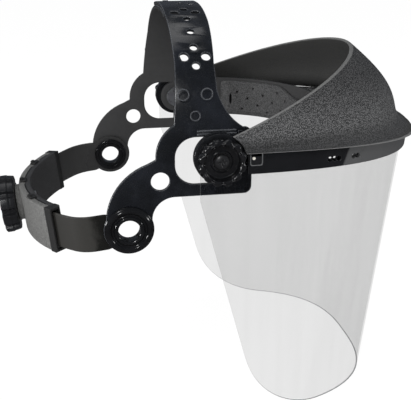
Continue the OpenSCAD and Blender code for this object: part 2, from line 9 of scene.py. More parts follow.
import bmesh
import bpy
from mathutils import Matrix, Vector

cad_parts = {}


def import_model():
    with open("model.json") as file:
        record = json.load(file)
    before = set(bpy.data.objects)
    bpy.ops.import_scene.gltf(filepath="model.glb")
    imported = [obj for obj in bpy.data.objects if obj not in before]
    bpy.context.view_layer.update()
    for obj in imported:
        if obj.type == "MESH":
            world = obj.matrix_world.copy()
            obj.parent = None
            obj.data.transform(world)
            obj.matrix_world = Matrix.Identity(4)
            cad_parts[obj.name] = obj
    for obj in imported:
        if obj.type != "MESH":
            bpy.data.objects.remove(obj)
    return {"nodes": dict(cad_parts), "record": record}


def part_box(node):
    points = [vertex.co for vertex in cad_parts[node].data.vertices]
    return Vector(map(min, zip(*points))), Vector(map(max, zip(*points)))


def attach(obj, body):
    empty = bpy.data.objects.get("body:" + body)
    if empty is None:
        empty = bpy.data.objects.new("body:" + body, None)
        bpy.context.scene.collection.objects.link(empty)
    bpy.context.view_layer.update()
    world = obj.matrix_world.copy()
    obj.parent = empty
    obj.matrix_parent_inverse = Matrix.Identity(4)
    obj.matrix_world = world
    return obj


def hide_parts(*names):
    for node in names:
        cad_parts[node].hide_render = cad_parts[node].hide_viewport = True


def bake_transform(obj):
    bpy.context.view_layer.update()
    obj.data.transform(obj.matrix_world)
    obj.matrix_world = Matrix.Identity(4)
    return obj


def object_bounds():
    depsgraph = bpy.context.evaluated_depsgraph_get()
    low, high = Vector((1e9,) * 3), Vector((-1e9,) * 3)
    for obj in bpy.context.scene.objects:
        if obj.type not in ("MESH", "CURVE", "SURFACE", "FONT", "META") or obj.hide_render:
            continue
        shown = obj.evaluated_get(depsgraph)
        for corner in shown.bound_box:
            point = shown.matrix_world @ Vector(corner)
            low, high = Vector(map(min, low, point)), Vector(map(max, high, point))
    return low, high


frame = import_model()
CAD_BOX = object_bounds()
NODES = frame["nodes"]
MM = 0.001
FULL_TURN = 2 * math.pi

# ---------------------------------------------------------------- sizes, in millimetres


def corners(node):
    """Lowest and highest corner of a CAD node, in millimetres."""
    low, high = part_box(node)
    return low / MM, high / MM


def centre(node):
    low, high = corners(node)
    return (low + high) / 2


SHEET_LOW, SHEET_HIGH = corners("visor")
SHEET_A = SHEET_HIGH.x
SHEET_B = 150
SHEET_N = 2.8
SHEET_T = 1.0
LEAN = math.radians(6.5)
SHEET_TOP = 2.1
REAR_EDGE = SHEET_HIGH.y
REAR_EDGE_Z = -27
REAR_SLOPE = math.radians(15)
SHEET_CORNER = 60

BRIM_A = corners("browguard")[1].x
BRIM_B = 151
BRIM_N = 3.2
BRIM_Y0 = -4
BRIM_Z = corners("browguard")[0].z
CROWN_A = 102.5
CROWN_B = 114
CROWN_N = 1.9
CROWN_Z = 57
CROWN_SLOPE = 0.4
BROW_T = 2.4
BROW_DROOP = 3.0
BROW_SWELL = 7
BROW_DIP = 9
DIP_PLACE = 0.15
DIP_SIDE = 0.3
BROW_GAP = 0.9

KNOB_LOW, KNOB_HIGH = corners("pivot_knob_left")
KNOB_R = KNOB_HIGH.z
KNOB_IN = KNOB_LOW.x
KNOB_OUT = KNOB_HIGH.x

LATCH = centre("visor_latch_left")
BAND_OUT = SHEET_A + 2.6
PEG_R = 1.9
PEG_Z = -1.8
PEG_TRAVEL = 1.8
PEEP_TURNS = [20.7, 22.05, 23.4, 28.6, 30.1]
PEEP_R = 2.4
PEEP_Z = -4.4

NAPE = centre("nape_rivet_left")
FLANGE_R = corners("nape_rivet_left")[1].z - NAPE.z
BARREL_R = 10.0
PLATE_OUT = 90.2

TILT = math.radians(6)
CASING_Z = NAPE.z
CASING_H = 31
CASING_TURN = 34
CASING_Y = 128.0
CASING_R = 121.6
CASING_C = CASING_Y - CASING_R
STRAP_T = 1.6
STRAP_H = 24.6
STRAP_X = 86.9
BEND_R = 20
LAYERS = {"right": 118.2, "left": 116.2}
SEAM_R = (LAYERS["right"] + LAYERS["left"]) / 2
PINION_TEETH = 12
PINION_R = 7
SIDES = {"right": -1, "left": 1}
PIVOT = Vector((0, 0, 0))

# ---------------------------------------------------------------- material helpers


class Nodes:
    """A small builder for one material's node tree."""

    def __init__(self, name):
        self.mat = bpy.data.materials.new(name)
        self.mat.use_nodes = True
        self.tree = self.mat.node_tree
        self.tree.nodes.clear()
        self.out = self.add("ShaderNodeOutputMaterial")

    def add(self, kind, **settings):
        node = self.tree.nodes.new(kind)
        for key, value in settings.items():
            setattr(node, key, value)
        return node

    def link(self, source, target):
        self.tree.links.new(source, target)

    def put(self, value, socket):
        """A number, a colour or another node's output into a socket."""
        if isinstance(value, tuple):
            socket.default_value = (*value, 1) if len(value) == 3 and socket.type == "RGBA" else value
        elif isinstance(value, (int, float)):
            socket.default_value = value
        else:
            self.link(value, socket)

    def coords(self):
        return self.add("ShaderNodeTexCoord").outputs["Object"]

    def stretched(self, scale):
        """Object coordinates with each axis scaled on its own."""
        node = self.add("ShaderNodeMapping")
        node.inputs["Scale"].default_value = scale
        self.link(self.coords(), node.inputs["Vector"])
        return node.outputs["Vector"]

    def noise(self, scale, detail=4, rough=0.6, vector=None):
        node = self.add("ShaderNodeTexNoise")
        node.inputs["Scale"].default_value = scale
        node.inputs["Detail"].default_value = detail
        node.inputs["Roughness"].default_value = rough
        self.link(vector or self.coords(), node.inputs["Vector"])
        return node.outputs["Fac"]

    def cells(self, scale):
        node = self.add("ShaderNodeTexVoronoi")
        node.inputs["Scale"].default_value = scale
        self.link(self.coords(), node.inputs["Vector"])
        return node.outputs["Distance"]

    def ramp(self, source, start, end, low=0.0, high=1.0):
        """Smooth step: low below start, high above end."""
        node = self.add("ShaderNodeMapRange", interpolation_type="SMOOTHSTEP")
        for value, place in ((source, 0), (start, 1), (end, 2), (low, 3), (high, 4)):
            self.put(value, node.inputs[place])
        return node.outputs[0]

    def mix(self, factor, first, second):
        node = self.add("ShaderNodeMix", data_type="RGBA")
        for value, place in ((factor, 0), (first, 6), (second, 7)):
            self.put(value, node.inputs[place])
        return node.outputs[2]

    def maths(self, operation, first, second=0.0):
        node = self.add("ShaderNodeMath", operation=operation)
        self.put(first, node.inputs[0])
        self.put(second, node.inputs[1])
        return node.outputs[0]

    def attribute(self, name):
        return self.add("ShaderNodeAttribute", attribute_name=name).outputs["Fac"]

    def bump(self, height, strength, distance, normal=None):
        node = self.add("ShaderNodeBump")
        node.inputs["Strength"].default_value = strength
        node.inputs["Distance"].default_value = distance
        self.link(height, node.inputs["Height"])
        if normal is not None:
            self.link(normal, node.inputs["Normal"])
        return node.outputs["Normal"]

    def rounded(self, radius):
        node = self.add("ShaderNodeBevel", samples=4)
        node.inputs["Radius"].default_value = radius
        return node.outputs["Normal"]

    def edge_line(self, radius, start=0.03, end=0.25):
        """1 along hard edges, 0 on open faces."""
        geometry = self.add("ShaderNodeNewGeometry")
        soft = self.add("ShaderNodeBevel", samples=6)
        soft.inputs["Radius"].default_value = radius
        dot = self.add("ShaderNodeVectorMath", operation="DOT_PRODUCT")
        self.link(geometry.outputs["Normal"], dot.inputs[0])
        self.link(soft.outputs["Normal"], dot.inputs[1])
        return self.ramp(self.maths("SUBTRACT", 1.0, dot.outputs["Value"]), start, end)

    def outward(self, centre_z):
        """1 on faces that look away from the head's middle line, 0 on faces that look at it."""
        geometry = self.add("ShaderNodeNewGeometry")
        place = self.add("ShaderNodeVectorMath", operation="SUBTRACT")
        self.link(geometry.outputs["Position"], place.inputs[0])
        place.inputs[1].default_value = (0, 0, centre_z)
        flat = self.add("ShaderNodeVectorMath", operation="MULTIPLY")
        self.link(place.outputs[0], flat.inputs[0])
        flat.inputs[1].default_value = (1, 0.15, 1)
        dot = self.add("ShaderNodeVectorMath", operation="DOT_PRODUCT")
        self.link(flat.outputs[0], dot.inputs[0])
        self.link(geometry.outputs["Normal"], dot.inputs[1])
        return self.ramp(dot.outputs["Value"], -0.02, 0.02)

    def surface(self, color, rough, normal=None, metal=0.0, spec=0.5, coat=0.0):
        node = self.add("ShaderNodeBsdfPrincipled")
        values = {
            "Base Color": color,
            "Roughness": rough,
            "Metallic": metal,
            "Specular IOR Level": spec,
            "Coat Weight": coat,
        }
        for name, value in values.items():
            self.put(value, node.inputs[name])
        node.inputs["Coat Roughness"].default_value = 0.1
        if normal is not None:
            self.link(normal, node.inputs["Normal"])
            self.link(normal, node.inputs["Coat Normal"])
        self.link(node.outputs[0], self.out.inputs["Surface"])
        return self.mat


def shade(color, factor):
    return tuple(min(1.0, c * factor) for c in color)


# ---------------------------------------------------------------- materials


def harness_moulding():
    """Blue-black moulding, polished on the outside, matt grey on the side that faces the head, with a
    painted highlight along its edges.
    """
    n = Nodes("harness_moulding")
    outside = n.outward(0.012)
    haze = n.noise(32, 5, 0.65)
    scuff = n.noise(260, 4, 0.7)
    deep = n.mix(n.ramp(haze, 0.4, 0.75), (0.0035, 0.0042, 0.0056), (0.009, 0.0105, 0.0145))
    # painted highlight: a light grey line along the rounded edges
    deep = n.mix(n.edge_line(1.0 * MM, 0.01, 0.12), deep, (0.11, 0.115, 0.125))
    matt = n.mix(scuff, (0.028, 0.028, 0.0285), (0.037, 0.037, 0.0375))
    color = n.mix(outside, matt, deep)
    rough = n.ramp(outside, 0, 1, 0.62, 0.24)
    rough = n.maths("ADD", rough, n.maths("MULTIPLY", n.ramp(scuff, 0.45, 0.7), 0.1))
    ripple = n.bump(n.noise(24, 2, 0.4), 0.2, 1.2 * MM, n.rounded(0.5 * MM))
    normal = n.bump(n.noise(1300, 2, 0.5), 0.03, 0.1 * MM, ripple)
    return n.surface(color, rough, normal, spec=n.ramp(outside, 0, 1, 0.1, 0.5))


def gloss_plastic(name, color, rough=0.16, spec=0.5, rim=0.05, line=0.5):
    """Polished black moulding: slow ripple, faint haze where it is handled, and a painted highlight along
    its rounded edges; rim is its grey, line its width in mm.
    """
    n = Nodes(name)
    haze = n.noise(60, 5, 0.65)
    tint = n.mix(n.ramp(haze, 0.35, 0.75), color, shade(color, 2.0))
    # painted highlight: the colour turns to rim grey along the edges
    tint = n.mix(n.edge_line(line * MM, 0.02, 0.2), tint, (rim, rim, rim * 1.04))
    roughness = n.maths("ADD", n.maths("MULTIPLY", haze, 0.14), rough - 0.07)
    ripple = n.bump(n.noise(45, 2, 0.4), 0.18, 0.7 * MM, n.rounded(0.45 * MM))
    normal = n.bump(n.noise(1100, 2, 0.5), 0.03, 0.1 * MM, ripple)
    return n.surface(tint, roughness, normal, spec=spec)


def band_plastic():
    """Black band: polished beside the pivots; rougher round the front, where a mid grey is painted in as
    a reflection, and a painted highlight runs along its edges.
    """
    n = Nodes("band_black")
    split = n.add("ShaderNodeSeparateXYZ")
    n.link(n.coords(), split.inputs[0])
    haze = n.noise(60, 5, 0.65)
    grain = n.noise(1400, 3, 0.6)
    place = n.maths("ADD", split.outputs["Y"], n.maths("MULTIPLY", split.outputs["Z"], 0.35))
    front = n.ramp(place, -87 * MM, -84.5 * MM, 1.0, 0.0)
    black = n.mix(haze, (0.0032, 0.0034, 0.004), (0.0075, 0.008, 0.0092))
    # painted reflection: the grey of the front stands in for a reflection of the surroundings, not the
    # band's own colour
    grey = n.mix(grain, (0.046, 0.047, 0.048), (0.07, 0.071, 0.073))
    color = n.mix(front, black, grey)
    # painted highlight: light grey along the edges
    color = n.mix(n.edge_line(0.5 * MM), color, (0.06, 0.06, 0.062))
    normal = n.bump(grain, 0.06, 0.1 * MM, n.rounded(0.4 * MM))
    return n.surface(color, n.ramp(front, 0, 1, 0.18, 0.42), normal)


def satin_plastic(name, color, rough=0.45, scale=1500, strength=0.25, spread=0.35, spec=0.35):
    """Spark-textured moulding with a fine even grain and slight colour drift, and a painted highlight
    along its edges.
    """
    n = Nodes(name)
    grain = n.noise(scale, 3, 0.7)
    drift = n.noise(30, 4, 0.6)
    dark = shade(color, 1 - spread)
    light = shade(color, 1 + spread)
    tint = n.mix(n.ramp(grain, 0.38, 0.62), dark, light)
    tint = n.mix(0.3, tint, n.mix(drift, dark, light))
    # painted highlight: edges lightened towards 2.4 times the colour
    tint = n.mix(n.maths("MULTIPLY", n.edge_line(0.5 * MM), 0.5), tint, shade(color, 2.4))
    roughness = n.maths("ADD", n.maths("MULTIPLY", drift, 0.2), rough - 0.1)
    normal = n.bump(grain, strength, 0.25 * MM, n.rounded(0.3 * MM))
    return n.surface(tint, roughness, normal, spec=spec)


def pebble_plastic():
    """Fine pebble grain of the browguard: light crests over dark pits; painted light lightens its lower
    part, fading out upwards, and painted shade darkens it just above the brim.
    """
    n = Nodes("browguard_pebble")
    pebble = n.cells(1500)
    small = n.noise(2600, 2, 0.6)
    crest = n.maths("ADD", pebble, n.maths("MULTIPLY", small, 0.7))
    speck = n.ramp(crest, 0.55, 0.95, 1.0, 0.0)
    base = n.mix(speck, (0.012, 0.0123, 0.013), (0.074, 0.0746, 0.0758))
    split = n.add("ShaderNodeSeparateXYZ")
    n.link(n.coords(), split.inputs[0])
    # painted light: a lighter copy of the grain colours, mixed in over the lower part
    painted_light_tint = n.mix(speck, (0.028, 0.0284, 0.029), (0.19, 0.191, 0.194))
    lit = n.ramp(split.outputs["Z"], 14 * MM, 45 * MM, 0.55, 0.0)
    tint = n.mix(lit, base, painted_light_tint)
    # painted shade: darker band just above the brim
    low = n.ramp(split.outputs["Z"], 7 * MM, 17 * MM, 0.6, 0.0)
    tint = n.mix(low, tint, (0.02, 0.0203, 0.021))
    normal = n.bump(crest, 0.6, 0.35 * MM)
    return n.surface(tint, n.ramp(speck, 0, 1, 0.72, 0.52), normal, spec=0.35)


def leatherette():
    """Padded strip: fine pebbled skin, darker inside its perforations."""
    n = Nodes("sweatband_leatherette")
    pebble = n.cells(1500)
    small = n.noise(2600, 2, 0.6)
    crest = n.maths("ADD", pebble, n.maths("MULTIPLY", small, 0.6))
    speck = n.ramp(crest, 0.4, 0.95, 1.0, 0.0)
    skin = n.mix(speck, (0.021, 0.021, 0.0215), (0.1, 0.1, 0.102))
    skin = n.mix(n.ramp(n.noise(26, 3, 0.5), 0.35, 0.75, 0.0, 0.3), skin, (0.04, 0.04, 0.041))
    color = n.mix(n.attribute("pit"), skin, (0.002, 0.002, 0.002))
    normal = n.bump(crest, 0.5, 0.35 * MM)
    return n.surface(color, 0.6, normal, spec=0.3)


def strap_satin():
    """Warm grey nylon strap, shinier where it comes out from under the rivet; on the strap at the
    wearer's right that part also has painted shade, a near-black colour.
    """
    n = Nodes("strap_satin")
    split = n.add("ShaderNodeSeparateXYZ")
    n.link(n.coords(), split.inputs[0])
    cloud = n.noise(70, 4, 0.6)
    edge = n.maths("ADD", split.outputs["Y"], n.maths("MULTIPLY", cloud, 0.02))
    # 0 by the ring, where the strap is shinier and, on the right strap, given painted shade; 1 further
    # back
    painted_shade_and_shine_edge = n.ramp(edge, 0.085, 0.092)
    near = n.ramp(split.outputs["X"], -0.06, -0.05, 1.0, 0.0)
    satin = n.mix(n.noise(900, 2, 0.5), (0.022, 0.0214, 0.0194), (0.029, 0.028, 0.0256))
    # painted shade: near-black colour for the right strap by the ring
    gloss = n.mix(cloud, (0.004, 0.004, 0.0035), (0.01, 0.01, 0.009))
    dark = n.mix(n.outward(-0.05), (0.026, 0.026, 0.026), satin)
    color = n.mix(n.maths("MULTIPLY", n.maths("SUBTRACT", 1.0, painted_shade_and_shine_edge), near), dark, gloss)
    grain = n.bump(n.noise(1500, 3, 0.6), 0.12, 0.15 * MM, n.rounded(0.3 * MM))
    return n.surface(color, n.ramp(painted_shade_and_shine_edge, 0, 1, 0.25, 0.45), grain, spec=0.3)


def metal(name, color, rough=0.28):
    n = Nodes(name)
    streak = n.noise(420, 2, 0.5)
    tint = n.mix(streak, shade(color, 0.75), color)
    roughness = n.maths("ADD", n.maths("MULTIPLY", streak, 0.2), rough - 0.08)
    normal = n.bump(streak, 0.08, 0.1 * MM, n.rounded(0.25 * MM))
    return n.surface(tint, roughness, normal, metal=1.0)


def clear_sheet(name, tint, gloss, film=0.0):
    """Clear sheet: light passes with a grey tint and faint upright flow lines; it reflects at low angles.
    film is the share of dull grey seen on cut edges."""
    n = Nodes(name)
    flow = n.noise(1, 3, 0.55, n.stretched((90, 90, 6)))
    clear = n.add("ShaderNodeBsdfTransparent")
    n.put(n.mix(n.ramp(flow, 0.4, 0.75), tint, shade(tint, 0.988)), clear.inputs["Color"])
    shine = n.add("ShaderNodeBsdfGlossy")
    n.put(n.maths("MULTIPLY", n.noise(14, 4, 0.6), 0.12), shine.inputs["Roughness"])
    fresnel = n.add("ShaderNodeFresnel")
    fresnel.inputs["IOR"].default_value = 1.35
    mix = n.add("ShaderNodeMixShader")
    n.link(n.maths("MULTIPLY", fresnel.outputs[0], gloss), mix.inputs[0])
    n.link(clear.outputs[0], mix.inputs[1])
    n.link(shine.outputs[0], mix.inputs[2])
    dull = n.add("ShaderNodeBsdfDiffuse")
    dull.inputs["Color"].default_value = (0.25, 0.25, 0.25, 1)
    both = n.add("ShaderNodeMixShader")
    both.inputs[0].default_value = film
    n.link(mix.outputs[0], both.inputs[1])
    n.link(dull.outputs[0], both.inputs[2])
    n.link(both.outputs[0], n.out.inputs["Surface"])
    return n.mat


MATERIALS = {
    "harness": harness_moulding(),
    "gloss_black": gloss_plastic("gloss_black", (0.003, 0.0031, 0.0034), 0.14),
    "browguard": pebble_plastic(),
    "sweatband": leatherette(),
    "clear_sheet": clear_sheet("clear_sheet", (0.895, 0.895, 0.895), 0.03),
    "black_nylon": satin_plastic("black_nylon", (0.009, 0.0092, 0.0105), 0.3),
    "casing_grey": satin_plastic("casing_grey", (0.105, 0.105, 0.102), 0.5, 1200, 0.4, 0.5),
    "casing_dark": satin_plastic("casing_dark", (0.028, 0.028, 0.029), 0.55, 1200, 0.4, 0.45),
    "strap_satin": strap_satin(),
    "steel": metal("zinc_steel", (0.62, 0.63, 0.65)),
    "brass": metal("turned_brass", (0.68, 0.5, 0.22)),
    "acetal": satin_plastic("acetal", (0.62, 0.6, 0.54), 0.4, 800, 0.05, 0.05),
}
SHEET_EDGE = clear_sheet("clear_sheet_edge", (0.66, 0.66, 0.67), 0.5, 0.35)
BROW_INSIDE = satin_plastic("browguard_inside", (0.036, 0.036, 0.0352), 0.6, 1500, 0.2, 0.25, 0.2)
# painted highlight: the lighter grey of the crown and brim lips stands in for light catching them
BROW_EDGE_HIGHLIGHT = satin_plastic("browguard_painted_edge_highlight", (0.1, 0.1, 0.099), 0.5, 1800, 0.3, 0.4)
BAND_BLACK = band_plastic()
# rim sets the grey of the painted edge highlight on the knob and its screw dome
KNOB_BLACK = gloss_plastic("knob_black", (0.004, 0.0041, 0.0046), 0.2, rim=0.2, line=0.9)
DOME_BLACK = gloss_plastic("dome_black", (0.006, 0.006, 0.0065), 0.36, spec=0.8, rim=0.12)
# painted highlight: light grey for the raised frames round the latches
LATCH_RIM_HIGHLIGHT = satin_plastic("latch_rim_painted_highlight", (0.085, 0.087, 0.09), 0.35, 1500, 0.1, 0.2)
CASING_END = satin_plastic("casing_end", (0.012, 0.012, 0.012), 0.5, 1200, 0.3, 0.4)
SEAM_DARK = satin_plastic("seam_dark", (0.003, 0.003, 0.003), 0.6)

SLOT_OF = {row["node"]: row["material_slot"] for row in frame["record"]["subparts"]}

# ---------------------------------------------------------------- mesh helpers


def new_object(name, data):
    obj = bpy.data.objects.new(name, data)
    bpy.context.scene.collection.objects.link(obj)
    return obj


def new_mesh(name, points, faces):
    """A mesh in metres from points in millimetres."""
    mesh = bpy.data.meshes.new(name)
    mesh.from_pydata([tuple(c * MM for c in p) for p in points], [], faces)
    return mesh


def clean(mesh, thin=False):
    """Merges coincident points and turns all faces outwards; thin also drops faces of no area."""
    bm = bmesh.new()
    bm.from_mesh(mesh)
    bmesh.ops.remove_doubles(bm, verts=bm.verts, dist=1e-7)
    if thin:
        bmesh.ops.dissolve_degenerate(bm, dist=1e-7, edges=bm.edges)
    bmesh.ops.recalc_face_normals(bm, faces=bm.faces)
    bm.to_mesh(mesh)
    bm.free()


def piece(name, points, faces, slot, stands_for=(), body=None, sharp=35, materials=None, shares=None):
    """A mesh piece from points in millimetres; shares holds one material number per face."""
    mesh = new_mesh(name, points, faces)
    for material in materials or [MATERIALS[slot]]:
        mesh.materials.append(material)
    if shares:
        mesh.polygons.foreach_set("material_index", shares)
    clean(mesh)
    for polygon in mesh.polygons:
        polygon.use_smooth = True
    mesh.set_sharp_from_angle(angle=math.radians(sharp))
    obj = new_object(name, mesh)
    if stands_for:
        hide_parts(*stands_for)
    if body:
        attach(obj, body)
    return obj


def loft(rings, wrap=False):
    """Quads between closed rings of points; wrap joins the last ring to the first."""
    count = len(rings[0])
    points = [p for ring in rings for p in ring]
    faces = []
    for i in range(len(rings) if wrap else len(rings) - 1):
        a = i * count
        b = (i + 1) % len(rings) * count
        for k in range(count):
            n = (k + 1) % count
            faces.append((a + k, a + n, b + n, b + k))
    if not wrap:
        faces.append(tuple(range(count - 1, -1, -1)))
        faces.append(tuple(range(len(points) - count, len(points))))
    return points, faces


def join(*shells):
    """Several shells of points and faces as one."""
    points, faces = [], []
    for shell_points, shell_faces in shells:
        start = len(points)
        points += shell_points
        faces += [tuple(i + start for i in face) for face in shell_faces]
    return points, faces


def revolve(profile, middle, axis, steps=96, reach=None):
    """Turns a closed profile of (radius, place along the axis) about X or Y through middle.
    reach(radius, turn) changes the radius, for grips and flutes."""
    rings = []
    for k in range(steps):
        turn = FULL_TURN * k / steps
        ring = []
        for radius, along in profile:
            r = reach(radius, turn) if reach else radius
            u, v = r * math.cos(turn), r * math.sin(turn)
            if axis == "x":
                ring.append((along, middle.y + u, middle.z + v))
            else:
                ring.append((middle.x + u, along, middle.z + v))
        rings.append(ring)
    return loft(rings, wrap=True)


def soften(outline, cut, steps=3):
    """Rounds every corner of a closed outline; cut is where the rounding starts, from the corner."""
    out = []
    for k, corner in enumerate(outline):
        here = Vector(corner)
        before = Vector(outline[k - 1]) - here
        after = Vector(outline[(k + 1) % len(outline)]) - here
        start = here + before.normalized() * min(cut, before.length * 0.45)
        end = here + after.normalized() * min(cut, after.length * 0.45)
        for j in range(steps + 1):
            t = j / steps
            out.append(tuple(start * (1 - t) ** 2 + here * 2 * t * (1 - t) + end * t**2))
    return out


def turned(outline, side, middle, steps, cut=0.0, soft=3, reach=None):
    """Turned part on one side of the head; outline holds (radius, distance from the middle plane)."""
    profile = soften(outline, cut, soft) if cut else outline
    s = SIDES[side]
    return revolve([(r, s * x) for r, x in profile], middle, "x", steps, reach)


def arch(a, b, n, turn):
    """Point of a superellipse; turn runs from 0 to pi over its front half."""
    c, s = math.cos(turn), math.sin(turn)
    return math.copysign(a * abs(c) ** (2 / n), c), b * abs(s) ** (2 / n)


def spread(start, end, count):
    return [start + (end - start) * k / (count - 1) for k in range(count)]


def smooth_step(t):
    t = min(1.0, max(0.0, t))
    return t * t * (3 - 2 * t)


def tilted(shell):
    """Turns a shell down about the nape pivots, as the strap and its ratchet hang."""
    points, faces = shell
    c, s = math.cos(TILT), math.sin(TILT)
    turned = []
    for x, y, z in points:
        back, up = y - NAPE.y, z - NAPE.z
        turned.append((x, NAPE.y + back * c + up * s, NAPE.z - back * s + up * c))
    return turned, faces


def leaning(x, y, z):
    """From the sheet's own upright frame to the leaning one."""
    return x, y * math.cos(LEAN) - z * math.sin(LEAN), y * math.sin(LEAN) + z * math.cos(LEAN)


# ---------------------------------------------------------------- browguard


def brow_skin(u, v, t):
    """Skin of the browguard: u from the wearer's left to right, v from brim to crown, t inwards."""
    turn = math.pi * u
    low = arch(BRIM_A - t, BRIM_B - t, BRIM_N, turn)
    high = arch(CROWN_A - t, CROWN_B - t, CROWN_N, turn)
    front = math.sin(turn)
    low_3 = Vector((low[0], BRIM_Y0 - low[1], BRIM_Z))
    high_3 = Vector((high[0], -1 - high[1], CROWN_Z - CROWN_SLOPE * (CROWN_B - high[1])))
    dip = v / DIP_PLACE * math.exp(1 - v / DIP_PLACE)
    swell = BROW_SWELL * front * math.sin(math.pi * v)
    out = swell - BROW_DIP * (DIP_SIDE + (1 - DIP_SIDE) * front) * dip
    return low_3 + (high_3 - low_3) * v + out * Vector((math.cos(turn), -front, 0))


def brow_start(v, t):
    """Where the skin leaves the round notch in front of the pivot knob."""
    low, high = 0.0, 0.3
    for _ in range(30):
        u = (low + high) / 2
        p = brow_skin(u, v, t)
        if math.hypot(p.y, p.z) < KNOB_R + BROW_GAP:
            low = u
        else:
            high = u
    return high


def browguard():
    """Skin with a rolled crown edge and a thick drooping brim; each section entry holds the height
    share, the depth, the droop and the material number."""
    outer_rows = [0.012, 0.03, 0.05] + spread(0.08, 0.97, 26)
    inner_rows = [0.985] + spread(0.95, 0.1, 20) + [0.07, 0.04]
    section = [(v, 0.0, max(0.0, 1 - v / DIP_PLACE) ** 2, 0) for v in outer_rows]
    # material number 2 is the lips' lighter grey, a painted highlight
    section += [(0.985, 0.05, 0, 2), (0.996, 0.4, 0, 2), (1.0, 1.2, 0, 2), (0.996, 2.0, 0, 2)]
    section += [(v, BROW_T + 2.5 * smooth_step((0.1 - v) / 0.08), 0, 1) for v in inner_rows]
    section += [(0.0, 4.9, 0, 1), (0.0, 2.5, 0, 1), (0.0, 2.3, 0.7, 1), (0.0, 1.8, 1.0, 1)]
    section += [(0.0, 0.8, 1.05, 2), (0.0, 0.25, 0.95, 2)]
    starts = [brow_start(v, t) for v, t, _, _ in section]
    columns = 160
    rings = []
    for w in spread(0, 1, columns + 1):
        ring = []
        for (v, t, droop, _), start in zip(section, starts):
            u = start + (1 - 2 * start) * w
            p = brow_skin(u, v, t)
            p.z -= BROW_DROOP * droop * math.sin(math.pi * u) ** 2
            ring.append(tuple(p))
        rings.append(ring)
    points, faces = loft(rings)
    share = [entry[3] for entry in section]
    shares = share * columns + [0, 0]
    looks = [MATERIALS["browguard"], BROW_INSIDE, BROW_EDGE_HIGHLIGHT]
    node = "browguard"
    body = "visor_assembly"
    piece("browguard_shell", points, faces, node, [node], body, materials=looks, shares=shares)


# ---------------------------------------------------------------- clear visor


def sheet_edge():
    """The sheet's rear and bottom edge from the top rear corner forwards, in the leaning frame."""
    drop = -SHEET_LOW.z + REAR_EDGE_Z
    corner_y = REAR_EDGE - drop * math.tan(REAR_SLOPE)
    middle_y = corner_y - SHEET_CORNER * math.tan(math.pi / 4 - REAR_SLOPE / 2)
    middle_z = SHEET_LOW.z + SHEET_CORNER
    edge = [(REAR_EDGE, SHEET_TOP), (REAR_EDGE, REAR_EDGE_Z)]
    for w in spread(REAR_SLOPE, math.pi / 2, 24):
        edge.append((middle_y + SHEET_CORNER * math.cos(w), middle_z - SHEET_CORNER * math.sin(w)))
    edge.append((-2 * SHEET_B, SHEET_LOW.z))
    c, s = math.cos(LEAN), math.sin(LEAN)
    return [(y * c + z * s, -y * s + z * c) for y, z in edge]


def edge_height(edge, y):
    """Height of the edge line at a place front to back."""
    for (y0, z0), (y1, z1) in zip(edge, edge[1:]):
        if y1 <= y <= y0:
            return z0 + (z1 - z0) * (y0 - y) / (y0 - y1)
    return edge[-1][1]


def sheet_plan(a, b):
    """Plan points of the sheet from the right rear edge round the front to the left one."""
    rear = REAR_EDGE * math.cos(LEAN)
    side = [(a, y) for y in spread(rear, 0.5, 12)]
    side += [(a * (1 - (y / b) ** SHEET_N) ** (1 / SHEET_N), -y) for y in spread(0, 70, 60)]
    first = math.asin((70 / b) ** (SHEET_N / 2))
    front = [arch(a, b, SHEET_N, w) for w in spread(first, math.pi - first, 90)[1:-1]]
    return side + [(x, -y) for x, y in front] + [(-x, y) for x, y in reversed(side)]


def cut_away(obj, tools):
    """Subtracts simple tool meshes from a piece and applies the result."""
    for tool in tools:
        cut = obj.modifiers.new("cut", "BOOLEAN")
        cut.object = tool
        cut.operation = "DIFFERENCE"
        cut.solver = "EXACT"
    bpy.context.view_layer.update()
    graph = bpy.context.evaluated_depsgraph_get()
    mesh = bpy.data.meshes.new_from_object(obj.evaluated_get(graph))
    obj.modifiers.clear()
    obj.data = mesh
    for tool in tools:
        bpy.data.objects.remove(tool)


def cylinder_tool(radius, start, end, y, z):
    """A plain cylinder along X, used only to cut a hole."""
    profile = [(0.0, start), (radius, start), (radius, end), (0.0, end)]
    points, faces = revolve(profile, Vector((0, y, z)), "x", 48)
    mesh = new_mesh("tool", points, faces)
    clean(mesh, thin=True)
    return new_object("tool", mesh)


def visor():
    """Clear sheet with its cut edges, the holes of the pivots and latches, and the peep holes."""
    edge = sheet_edge()
    outer = sheet_plan(SHEET_A, SHEET_B)
    inner = sheet_plan(SHEET_A - SHEET_T, SHEET_B - SHEET_T)
    rows = 70
    rings = []
    for (xo, yo), (xi, yi) in zip(outer, inner):
        top_o = (SHEET_TOP - yo * math.sin(LEAN)) / math.cos(LEAN)
        bottom_o = edge_height(edge, yo)
        ring = [leaning(xo, yo, z) for z in spread(top_o, bottom_o, rows)]
        ring += [leaning(xi, yi, z) for z in spread(bottom_o, top_o, rows)]
        rings.append(ring)
    points, faces = loft(rings)
    share = [0] * (rows - 1) + [1] + [0] * (rows - 1) + [1]
    shares = share * (len(rings) - 1) + [1, 1]
    slot = "clear_sheet"
    looks = [MATERIALS[slot], SHEET_EDGE]
    obj = piece("visor_sheet", points, faces, slot, ["visor"], materials=looks, shares=shares)
    holes = [(5.8, 0, 0)]
    holes += [(PEG_R, LATCH.y, PEG_Z + rise) for rise in (0, PEG_TRAVEL / 2, PEG_TRAVEL)]
    for turn in PEEP_TURNS:
        y = arch(SHEET_A, SHEET_B, SHEET_N, math.radians(turn))[1]
        holes.append((PEEP_R, -y, PEEP_Z))
    tools = [cylinder_tool(r, s * 90, s * 106, y, z) for r, y, z in holes for s in (-1, 1)]
    cut_away(obj, tools)
    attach(obj, "visor_assembly")


# ---------------------------------------------------------------- sweatband

